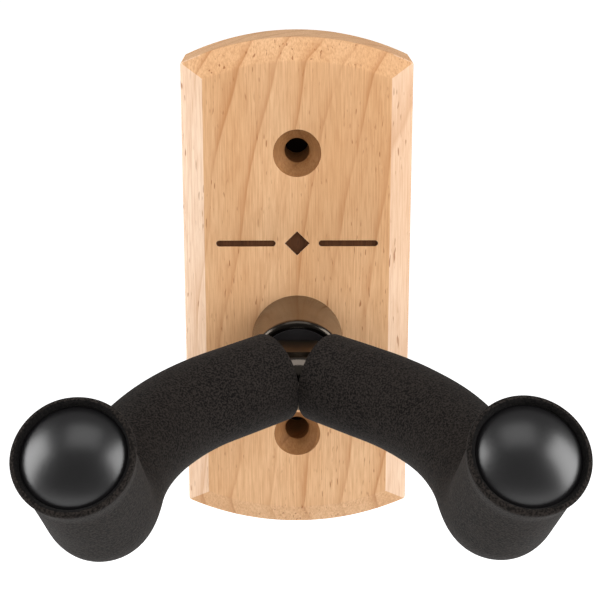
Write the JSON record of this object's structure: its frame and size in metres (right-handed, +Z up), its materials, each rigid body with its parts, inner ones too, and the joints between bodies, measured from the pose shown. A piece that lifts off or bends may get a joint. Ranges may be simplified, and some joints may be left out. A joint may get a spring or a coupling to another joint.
{
  "type": "wall guitar hanger",
  "caption": "Wall hanger for a guitar: a bevelled hardwood block carries a padded U-shaped steel yoke on a friction swivel that turns to suit the headstock.",
  "frame": {"origin": "on the wall plane, midway between the two wall screws, so the block's flat back lies in y = 0", "axes": "+Z up the wall, -Y out of the wall towards the player, +X to the right of someone facing the hanger; the swivel axis runs along Y, 11.6 mm below the origin"},
  "size_m": [0.1082, 0.1428, 0.135],
  "materials": {
    "hardwood": "satin lacquer over a pale straight grain",
    "dark_nickel": "polished dark nickel plate",
    "zinc_steel": "bright zinc plate",
    "spring_steel": "dark spring steel",
    "white_nylon": "natural nylon",
    "blue_nylon": "matte nylon",
    "black_acetal": "matte acetal",
    "black_foam": "closed-cell foam rubber with a finely sanded skin",
    "cap_plastic": "satin moulded plastic"
  },
  "bodies": {
    "block": {"mount_block": "hardwood", "collar": "dark_nickel", "clamp_washer": "zinc_steel", "ring_nut": "zinc_steel", "front_bush": "white_nylon", "rear_bush": "white_nylon", "thrust_washer": "black_acetal"},
    "yoke": {"swivel_hub": "dark_nickel", "rear_washer": "zinc_steel", "spring_washer": "spring_steel", "lock_nut": "zinc_steel", "nut_insert": "blue_nylon", "yoke_rod": "dark_nickel", "foam_sleeve_left": "black_foam", "foam_sleeve_right": "black_foam", "end_cap_left": "cap_plastic", "end_cap_right": "cap_plastic"}
  },
  "joints": [
    {"name": "yoke_swivel", "type": "hinge", "parent": "block", "child": "yoke", "pos_m": [0, -0.04, -0.0116], "axis": [0, 1, 0], "continuous": true}
  ]
}
